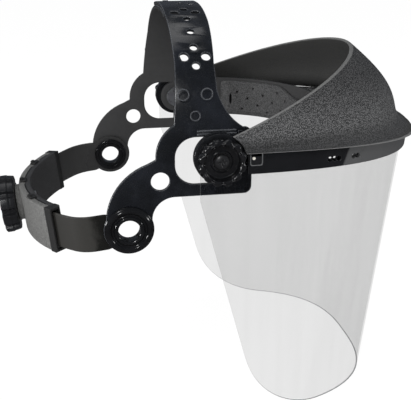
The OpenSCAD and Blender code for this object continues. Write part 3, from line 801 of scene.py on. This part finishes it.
PAD_A = 87.7
PAD_B = 80.5
PAD_N = 2.1
PAD_Y0 = -15
PAD_T = 4.0
PAD_LOW = corners("sweatband")[0].z
PAD_HIGH = corners("sweatband")[1].z
PAD_ENDS_Y = -38
PIT_R = 0.85
PIT_DEPTH = 1.6
PIT_GRID = ((9.8, -5), (5, 9))
PIT_MARGIN = 5
PAD_SLOT = (9, -2)
PAD_DROOP = 7.5


def pad_line(steps):
    """Points of the headband's inner face: place, outward normal, length along it and turn."""
    first = math.asin(((PAD_ENDS_Y - PAD_Y0) / -PAD_B) ** (PAD_N / 2))
    line = []
    length = 0.0
    last = None
    for w in spread(first, math.pi - first, steps):
        x, y = arch(PAD_A, PAD_B, PAD_N, w)
        across = math.copysign(abs(x / PAD_A) ** (PAD_N - 1) / PAD_A, x)
        normal = Vector((across, -((y / PAD_B) ** (PAD_N - 1)) / PAD_B)).normalized()
        here = Vector((x, PAD_Y0 - y))
        if last is not None:
            length += (here - last).length
        last = here
        line.append((here, normal, length, w))
    return line


def pad_pit(length, z):
    """0 away from the perforations, 1 in the middle of one; they sit on a slanted grid."""
    (ax, az), (bx, bz) = PIT_GRID
    area = ax * bz - bx * az
    u = (length * bz - z * bx) / area
    v = (z * ax - length * az) / area
    best = bz
    for i in (math.floor(u), math.floor(u) + 1):
        for j in (math.floor(v), math.floor(v) + 1):
            best = min(best, math.hypot(length - i * ax - j * bx, z - i * az - j * bz))
    return 1 - smooth_step((best - PIT_R * 0.45) / (PIT_R * 0.9))


def sweatband():
    """Padded strip: crowned section, seam grooves, perforations, a slot near each end."""
    line = pad_line(460)
    total = line[-1][2]
    across = 52
    rings = []
    pits = []
    for here, normal, length, w in line:
        end = min(length, total - length)
        dip = smooth_step((math.radians(38) - abs(w - math.pi / 2)) / math.radians(16))
        high = PAD_HIGH - PAD_DROOP * dip
        low = PAD_LOW
        lift = 0.35 + 0.65 * smooth_step(end / 7)
        corner = 1 - math.sqrt(max(0.0, 1 - (1 - min(1, end / 4)) ** 2))
        ring = []
        for k in range(across):
            s = k / (across - 1)
            z = low + 3 * corner + (high - low - 6 * corner) * s
            crown = (1 - abs(2 * s - 1) ** 6) ** 0.5
            seam = math.exp(-(((abs(2 * s - 1) - 0.86) / 0.035) ** 2))
            depth = 0.5 + (PAD_T - 0.7) * crown * lift - 0.7 * seam * lift
            clear = min(s, 1 - s) * (high - low) > PIT_MARGIN and end > PAD_SLOT[0] + 3
            pit = pad_pit(length, z) if clear else 0.0
            from_slot = math.hypot(end - PAD_SLOT[0], (z - PAD_SLOT[1]) / 4.2)
            pit = max(pit, 1 - smooth_step((from_slot - 0.8) / 0.4))
            depth -= PIT_DEPTH * pit
            p = here - normal * depth
            ring.append((p.x, p.y, z))
            pits.append(pit)
        for s in spread(0.99, 0.01, 6):
            z = low + 3 * corner + (high - low - 6 * corner) * s
            p = here - normal * 0.15
            ring.append((p.x, p.y, z))
            pits.append(0.0)
        rings.append(ring)
    points, faces = loft(rings)
    obj = piece("sweatband_pad", points, faces, "sweatband", ["sweatband"], "harness", sharp=70)
    attribute = obj.data.attributes.new("pit", "FLOAT", "POINT")
    attribute.data.foreach_set("value", pits)


# ---------------------------------------------------------------- pivot knobs


def flute(radius_from, depth, count, width):
    """Radius change for grips: count smooth hollows of the given depth."""

    def reach(radius, turn):
        if radius < radius_from:
            return radius
        step = FULL_TURN / count
        away = abs((turn + step / 2) % step - step / 2)
        return radius - depth * math.exp(-((away / width) ** 2))

    return reach


def pivot_knob(side):
    base = KNOB_IN + 0.1
    rim = KNOB_OUT
    outline = [
        (5.2, base),
        (KNOB_R - 1.9, base),
        (KNOB_R - 1.6, base + 2.4),
        (KNOB_R - 0.1, base + 3.4),
        (KNOB_R, base + 7.4),
        (KNOB_R - 0.9, rim - 0.3),
        (KNOB_R - 2.0, rim),
        (12.2, rim),
        (11.3, rim - 0.8),
        (10.8, base + 3.2),
        (7.2, base + 2.9),
        (6.6, base + 3.6),
        (5.2, base + 3.6),
    ]
    grips = flute(KNOB_R - 2.2, 1.7, 12, math.radians(7.5))
    points, faces = turned(outline, side, PIVOT, 192, 0.45, reach=grips)
    node = "pivot_knob_" + side
    name = "pivot_knob_grip_" + side
    piece(name, points, faces, "gloss_black", [node], node, sharp=50, materials=[KNOB_BLACK])


def knob_screw(side):
    """Domed screw in the knob's recess, with a shallow cross recess."""
    s = SIDES[side]
    low, high = corners("knob_screw_left")
    seat = high.x - 2.9
    dome = [(5.3, seat), (5.35, seat + 0.5)]
    for w in spread(0.15, 1, 12):
        r = 5.2 * math.cos(w * math.pi / 2)
        dome.append((max(r, 0.0), seat + 0.6 + 2.3 * math.sin(w * math.pi / 2)))
    shank = [(0.0, low.x), (1.5, low.x), (1.5, seat + 0.3), (0.0, seat + 0.3)]
    head_shell = turned([(0.0, seat), *dome], side, PIVOT, 64)
    points, faces = join(head_shell, turned(shank, side, PIVOT, 24))
    sunk = []
    for x, y, z in points:
        r = math.hypot(y, z)
        arm = min(abs(y), abs(z))
        slot = (1 - smooth_step((arm - 0.35) / 0.4)) * (1 - smooth_step((r - 2.0) / 0.8))
        outer = abs(x) > seat + 1.5
        sunk.append((x - s * 1.0 * slot if outer else x, y, z))
    node = "knob_screw_" + side
    name = "knob_screw_dome_" + side
    piece(name, sunk, faces, "black_nylon", [node], "harness", sharp=60, materials=[DOME_BLACK])


# ---------------------------------------------------------------- nape rivets


def nape_rivet(side):
    tail = corners("nape_rivet_left")[0].x
    face = PLATE_OUT + 0.1
    bore = 7.15
    outline = [
        (bore, tail),
        (BARREL_R, tail),
        (BARREL_R, face),
        (FLANGE_R, face),
        (FLANGE_R, face + 0.9),
        (FLANGE_R - 1.3, face + 1.7),
        (13.6, face + 2.6),
        (12.4, face + 2.5),
        (11.3, face + 1.2),
        (10.2, face + 1.2),
        (9.4, face + 2.5),
        (8.3, face + 2.8),
        (bore, face + 2.0),
    ]
    points, faces = turned(outline, side, NAPE, 128, 0.5)
    node = "nape_rivet_" + side
    piece("nape_rivet_ring_" + side, points, faces, "gloss_black", [node], "nape_pivots", sharp=50)


def rivet_collar(side):
    low, high = corners("rivet_collar_left")
    outer = (high.z - low.z) / 2
    bore = BARREL_R + 0.05
    outline = [(bore, low.x), (outer - 0.8, low.x), (outer, low.x + 0.7), (outer, high.x), (bore, high.x)]
    points, faces = turned(outline, side, NAPE, 96, 0.35)
    node = "rivet_collar_" + side
    piece("rivet_collar_ring_" + side, points, faces, "gloss_black", [node], "nape_pivots", sharp=50)


# ---------------------------------------------------------------- nape straps


def strap_half(y):
    """Half height of the strap, narrowed by rounded shoulders where it meets the ring."""
    short = max(0.0, (NAPE.y + 16 - y) / 9)
    return STRAP_H / 2 - 4.5 * min(1.0, short) ** 2.2


def strap_path(layer, last_turn):
    """Plan line of one strap on the +X side: points and outward normals from the ring rearwards."""
    bend_y = CASING_C + math.sqrt((layer - BEND_R) ** 2 - (STRAP_X - BEND_R) ** 2)
    bend_turn = math.asin((STRAP_X - BEND_R) / (layer - BEND_R))
    path = [((STRAP_X, y), (1, 0)) for y in spread(NAPE.y + 9, bend_y, 12)[:-1]]
    for w in spread(0, math.pi / 2 - bend_turn, 14)[:-1]:
        normal = (math.cos(w), math.sin(w))
        path.append(((STRAP_X - BEND_R + BEND_R * normal[0], bend_y + BEND_R * normal[1]), normal))
    for w in spread(bend_turn, last_turn, 14):
        normal = (math.sin(w), math.cos(w))
        path.append(((layer * normal[0], CASING_C + layer * normal[1]), normal))
    return path


def strap_section(half):
    """Closed section of a strap: offset from its middle surface and height, with rounded edges."""
    flat = STRAP_T / 2
    section = [(flat, z) for z in spread(-half + 0.7, half - 0.7, 13)]
    section += [(0.35, half - 0.1), (0.0, half), (-0.35, half - 0.1)]
    section += [(-flat, z) for z in spread(half - 0.7, -half + 0.7, 13)]
    section += [(-0.35, -half + 0.1), (0.0, -half), (0.35, -half + 0.1)]
    return section


def nape_strap(side):
    """The bending part of one strap, from its ring round the rivet into the casing."""
    s = SIDES[side]
    rings = []
    for (x, y), normal in strap_path(LAYERS[side], math.radians(CASING_TURN - 3)):
        ring = []
        for out, z in strap_section(strap_half(y)):
            ring.append((s * (x + normal[0] * out), y + normal[1] * out, NAPE.z + z))
        rings.append(ring)
    strap = loft(rings)
    bore = BARREL_R + 0.1
    rim = FLANGE_R - 0.4
    low, high = STRAP_X - STRAP_T / 2 + 0.06, STRAP_X + STRAP_T / 2 - 0.06
    ring = turned([(bore, low), (rim, low), (rim, high), (bore, high)], side, NAPE, 96, 0.3, 2)
    points, faces = tilted(join(strap, ring))
    obj = piece("nape_strap_band_" + side, points, faces, "strap_satin", ["strap_end_" + side])
    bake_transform(obj)


def arc_point(s, r, w, z):
    """Point on the casing's arc before its tilt: side, radius, turn and height from its middle."""
    return s * r * math.sin(w), CASING_C + r * math.cos(w), CASING_Z + z


def strap_rack(side):
    """The toothed end of one strap, inside the casing: two bars, and teeth on one of them."""
    s = SIDES[side]
    layer = LAYERS[side]
    pitch = FULL_TURN / PINION_TEETH * PINION_R / layer
    half = STRAP_H / 2
    flat = STRAP_T / 2
    rings = []
    samples = 8
    window = 8.5
    tooth_h = 2.5
    first, last = math.radians(-15), math.radians(CASING_TURN - 7)
    count = int((last - first) / pitch * samples)
    for k in range(count + 1):
        w = first + pitch * k / samples
        inside = -4.4 * pitch < w < last - 2.2 * pitch
        wave = (w / pitch) % 1.0
        distance = abs(wave - round(wave))
        tooth = window - tooth_h * (1 - smooth_step((0.5 - distance - 0.16) / 0.18))
        slot_low, slot_high = (window, tooth) if inside else (0.02, 0.02)
        if side == "left":
            slot_low, slot_high = slot_high, slot_low
        rings.append((w, slot_low, slot_high))
    bars = []
    for lower in (True, False):
        bar = []
        for w, slot_low, slot_high in rings:
            z0, z1 = (-half, -slot_low) if lower else (slot_high, half)
            section = ((flat, z0), (flat, z1), (-flat, z1), (-flat, z0))
            bar.append([arc_point(s, layer + out, w, z) for out, z in section])
        bars.append(loft(bar))
    points, faces = tilted(join(*bars))
    node = "nape_strap_" + side
    piece("strap_rack_" + side, points, faces, "strap_satin", [node], node, sharp=30)


# ---------------------------------------------------------------- ratchet knob


def ratchet_knob():
    radius = 21.0
    y0 = CASING_Y + 3.7
    y1 = y0 + 10.5
    outline = [
        (4.1, y0),
        (radius - 1.2, y0),
        (radius - 0.6, y0 + 3.0),
        (radius - 0.6, y0 + 4.2),
        (radius, y0 + 4.8),
        (radius, y1 - 0.8),
        (radius - 1.0, y1),
        (14.6, y1),
        (12.6, y1 - 2.0),
        (0.0, y1 - 2.6),
        (0.0, y0 + 5.2),
        (4.1, y0 + 5.2),
    ]

    def grips(r, turn):
        if r < radius - 3:
            return r
        step = FULL_TURN / 10
        away = abs((turn + step / 2) % step - step / 2)
        return r - 2.6 * (1 - smooth_step((away - math.radians(4)) / math.radians(4)))

    profile = soften(outline[:9], 0.6, 3) + outline[9:]
    points, faces = tilted(revolve(profile, Vector((0, 0, CASING_Z)), "y", 240, grips))
    looks = [MATERIALS["black_nylon"]]
    node = "ratchet_knob"
    piece("ratchet_knob_grip", points, faces, "gloss_black", [node], node, sharp=50, materials=looks)


# ---------------------------------------------------------------- casing details


def rounded_block(size, cut):
    """Box of the given size about the origin with softened upright edges and rims."""
    x, y, z = size[0] / 2, size[1] / 2, size[2] / 2
    plan = soften([(-x, -y), (x, -y), (x, y), (-x, y)], cut, 3)
    rings = []
    for height, inset in ((-z, cut * 0.6), (-z + cut * 0.6, 0.0), (z - cut * 0.6, 0.0), (z, cut * 0.6)):
        fx = (x - inset) / x
        fy = (y - inset) / y
        rings.append([(px * fx, py * fy, height) for px, py in plan])
    return loft(rings)


def on_casing(shell, turn, radius, z):
    """Places a shell made about the origin on the casing's arc: its +Y points outwards."""
    points, faces = shell
    c, s = math.cos(turn), math.sin(turn)
    placed = []
    for x, y, dz in points:
        r = radius + y
        placed.append((r * s + x * c, CASING_C + r * c - x * s, CASING_Z + z + dz))
    return placed, faces


def casing_trim(name, shells, material):
    """Small parts on the casing as one piece, tilted with it."""
    points, faces = tilted(join(*shells))
    piece(name, points, faces, "casing_dark", body="ratchet_casing", materials=[material])


def casing_clips():
    """Snap tabs that hold the two covers together, along the top and the bottom seam."""
    half = CASING_H / 2
    # size of the block, its place outwards from the seam, and its height
    blocks = (
        ((7.5, 4.6, 1.6), 0.9, half + 0.5),
        ((3.2, 2.6, 2.0), 2.2, half + 1.4),
        ((6.5, 4.0, 1.4), 0.6, -half - 0.4),
    )
    shells = []
    for degrees in (-20, 0, 20):
        turn = math.radians(degrees)
        for size, out, z in blocks:
            shells.append(on_casing(rounded_block(size, 0.5), turn, SEAM_R + out, z))
    casing_trim("casing_clips", shells, CASING_END)


def casing_ends():
    """Dark end frame round each mouth of the casing, where a strap goes in."""
    half = CASING_H / 2
    outer = CASING_R + 0.3
    inner = 113.2
    # per ring: degrees past the casing's end, wall left at the inner and outer side and at the rims
    frame_rings = (
        (-1.6, 0.0, 0.0, -0.2),
        (1.0, 0.0, 0.0, -0.2),
        (1.5, 0.5, 0.5, 0.3),
        (1.5, 1.3, 1.6, 1.6),
        (-1.6, 1.3, 1.6, 1.6),
    )
    shells = []
    for s in (-1, 1):
        rings = []
        for degrees, wall_in, wall_out, rim in frame_rings:
            w = math.radians(CASING_TURN + degrees)
            low, high = inner + wall_in, outer - wall_out
            section = ((low, half - rim), (high, half - rim), (high, rim - half), (low, rim - half))
            rings.append([arc_point(s, r, w, z) for r, z in section])
        shells.append(loft(rings, wrap=True))
    casing_trim("casing_end_frames", shells, CASING_END)


def casing_seams():
    """Dark gap between the two covers along the top and the bottom."""
    half = CASING_H / 2
    low, high = -0.3, 0.06
    section = ((-0.4, low), (0.4, low), (0.4, high), (-0.4, high))
    shells = []
    for up, start, end in ((1, 4, 16), (1, 24, 30), (1, -30, -4), (-1, -30, 30)):
        rings = []
        for w in spread(math.radians(start), math.radians(end), 24):
            rings.append([arc_point(1, SEAM_R + out, w, up * (half + z)) for out, z in section])
        shells.append(loft(rings))
    casing_trim("casing_seams", shells, SEAM_DARK)


# ---------------------------------------------------------------- harness details


def plate_marks():
    """Three low moulded rings on each side plate, below the crown strap."""
    shells = []
    low = PLATE_OUT - 0.25
    high = PLATE_OUT + 0.25
    for side in SIDES:
        for y, z, r in ((21.2, 39.2, 3.5), (6.3, 39.2, 3.5), (13.6, 25.6, 3.0)):
            outline = [(r - 0.45, low), (r - 0.3, high), (r + 0.3, high), (r + 0.45, low)]
            shells.append(turned(outline, side, Vector((0, y, z)), 48, 0.15, 2))
    points, faces = join(*shells)
    piece("plate_marks", points, faces, "harness", body="harness")


def latch_guides():
    """Raised rounded frame on the band round each latch, in a light grey that is a painted highlight."""
    shells = []
    for s in (-1, 1):
        rings = []
        plan = soften([(-4.1, -4.6), (4.1, -4.6), (4.1, 4.2), (-4.1, 4.2)], 1.6, 4)
        for inset, x in ((0.0, -0.3), (0.0, 0.25), (0.15, 0.4), (0.5, 0.4), (0.65, 0.25), (0.65, -0.3)):
            ring = []
            for y, z in plan:
                fy = 1 - inset / 4.1
                fz = 1 - inset / 4.4
                ring.append((s * (BAND_OUT + x), LATCH.y + y * fy, LATCH.z + 0.9 + z * fz))
            rings.append(ring)
        shells.append(loft(rings, wrap=True))
    points, faces = join(*shells)
    looks = [LATCH_RIM_HIGHLIGHT]
    piece("latch_guides", points, faces, "gloss_black", body="visor_assembly", materials=looks)


def latch_pip(side):
    """Small pale dome on the latch."""
    x = corners("visor_latch_left")[1].x
    dome = [(0.0, x - 0.3), (1.05, x - 0.3), (1.05, x + 0.1)]
    dome += [(0.85, x + 0.35), (0.45, x + 0.5), (0.0, x + 0.52)]
    place = Vector((0, LATCH.y + 1.7, LATCH.z + 1.2))
    points, faces = turned(dome, side, place, 32)
    piece("latch_pip_" + side, points, faces, "acetal", body="visor_latch_" + side, sharp=60)


# ---------------------------------------------------------------- carried-over CAD nodes


def dress_cad_node(name, bevel=0.0):
    """Gives a CAD node its finish, crisp smooth shading and, where asked, rounded edges."""
    obj = NODES[name]
    obj.data.materials.clear()
    material = BAND_BLACK if name == "visor_band" else MATERIALS[SLOT_OF[name]]
    obj.data.materials.append(material)
    weld = obj.modifiers.new("weld", "WELD")
    weld.merge_threshold = 1e-6
    if bevel:
        rounding = obj.modifiers.new("rounding", "BEVEL")
        rounding.width = bevel * MM
        rounding.segments = 2
        rounding.limit_method = "ANGLE"
        rounding.angle_limit = math.radians(35)
        rounding.use_clamp_overlap = False
    split = obj.modifiers.new("split", "EDGE_SPLIT")
    split.split_angle = math.radians(40)
    for polygon in obj.data.polygons:
        polygon.use_smooth = True


BEVELS = {
    "harness": 0.35,
    "visor_band": 0.3,
    "ratchet_outer_cover": 0.5,
    "ratchet_inner_cover": 0.4,
    "visor_latch_right": 0.4,
    "visor_latch_left": 0.4,
    "visor_studs": 0.15,
}

for node_name in NODES:
    dress_cad_node(node_name, BEVELS.get(node_name, 0.0))

browguard()
visor()
sweatband()
ratchet_knob()
casing_clips()
casing_ends()
casing_seams()
plate_marks()
latch_guides()
for side_name in SIDES:
    latch_pip(side_name)
    pivot_knob(side_name)
    knob_screw(side_name)
    nape_rivet(side_name)
    rivet_collar(side_name)
    nape_strap(side_name)
    strap_rack(side_name)

# ---------------------------------------------------------------- studio


def background(tree, color, strength=1.0):
    node = tree.nodes.new("ShaderNodeBackground")
    node.inputs["Color"].default_value = (*color, 1)
    node.inputs["Strength"].default_value = strength
    return node.outputs[0]


def world():
    """White to the camera and as fill light, darker in reflections so that gloss stays deep."""
    sky = bpy.data.worlds.new("studio")
    bpy.context.scene.world = sky
    sky.use_nodes = True
    tree = sky.node_tree
    tree.nodes.clear()
    out = tree.nodes.new("ShaderNodeOutputWorld")
    path = tree.nodes.new("ShaderNodeLightPath")
    mix = tree.nodes.new("ShaderNodeMixShader")
    tree.links.new(path.outputs["Is Glossy Ray"], mix.inputs[0])
    tree.links.new(background(tree, (1, 1, 1)), mix.inputs[1])
    tree.links.new(background(tree, (0.1, 0.11, 0.13)), mix.inputs[2])
    tree.links.new(mix.outputs[0], out.inputs["Surface"])


def floor():
    """Pale floor: mostly self-lit so that shadows stay faint, dark where gloss mirrors it."""
    mesh = bpy.data.meshes.new("floor")
    bm = bmesh.new()
    bmesh.ops.create_grid(bm, x_segments=2, y_segments=2, size=6.0)
    bm.to_mesh(mesh)
    bm.free()
    ground = new_object("floor", mesh)
    ground.location = (0, 0, CAD_BOX[0].z - 0.5 * MM)
    n = Nodes("pale_floor")
    glow = n.add("ShaderNodeEmission")
    matt = n.add("ShaderNodeBsdfDiffuse")
    matt.inputs["Color"].default_value = (0.9, 0.9, 0.9, 1)
    pale = n.add("ShaderNodeMixShader")
    pale.inputs[0].default_value = 0.12
    n.link(glow.outputs[0], pale.inputs[1])
    n.link(matt.outputs[0], pale.inputs[2])
    dark = n.add("ShaderNodeBsdfDiffuse")
    dark.inputs["Color"].default_value = (0.06, 0.06, 0.065, 1)
    path = n.add("ShaderNodeLightPath")
    mix = n.add("ShaderNodeMixShader")
    n.link(path.outputs["Is Glossy Ray"], mix.inputs[0])
    n.link(pale.outputs[0], mix.inputs[1])
    n.link(dark.outputs[0], mix.inputs[2])
    n.link(mix.outputs[0], n.out.inputs["Surface"])
    mesh.materials.append(n.mat)


def softbox(name, place, aim, width, power, mirrored=True):
    """Soft rectangular light; one that is not mirrored leaves no patch on glossy faces."""
    light = bpy.data.lights.new(name, "AREA")
    light.shape = "RECTANGLE"
    light.size = width
    light.size_y = width * 0.7
    light.energy = power
    obj = new_object(name, light)
    obj.location = place
    obj.visible_glossy = mirrored
    way = Vector(aim) - Vector(place)
    obj.rotation_euler = way.to_track_quat("-Z", "Y").to_euler()


def camera():
    data = bpy.data.cameras.new("camera")
    data.sensor_width = 36
    data.lens = 68.85
    data.clip_start = 0.01
    obj = new_object("camera", data)
    obj.location = (-0.5601, 0.0936, 0.1410)
    target = Vector((0, -0.0093, -0.0629))
    obj.rotation_euler = (target - obj.location).to_track_quat("-Z", "Y").to_euler()
    bpy.context.scene.camera = obj
    bpy.context.scene.view_settings.view_transform = "Standard"


world()
floor()
softbox("key", (-0.9, -0.7, 1.3), (0, -0.03, -0.05), 0.9, 4.5, mirrored=False)
softbox("side", (-1.4, 0.3, 0.1), (0, 0, -0.02), 0.6, 4, mirrored=False)
softbox("top", (0.4, 0.2, 1.6), (0, 0, 0), 1.2, 5)
softbox("rim", (-0.25, 1.5, 0.05), (0, 0, 0), 0.35, 12)
softbox("rim_front", (-0.5, -1.4, 0.25), (0, 0, 0), 0.3, 3)
softbox("glint", (-1.2, 0.55, 0.75), (-0.1, 0, 0), 0.25, 5)
camera()
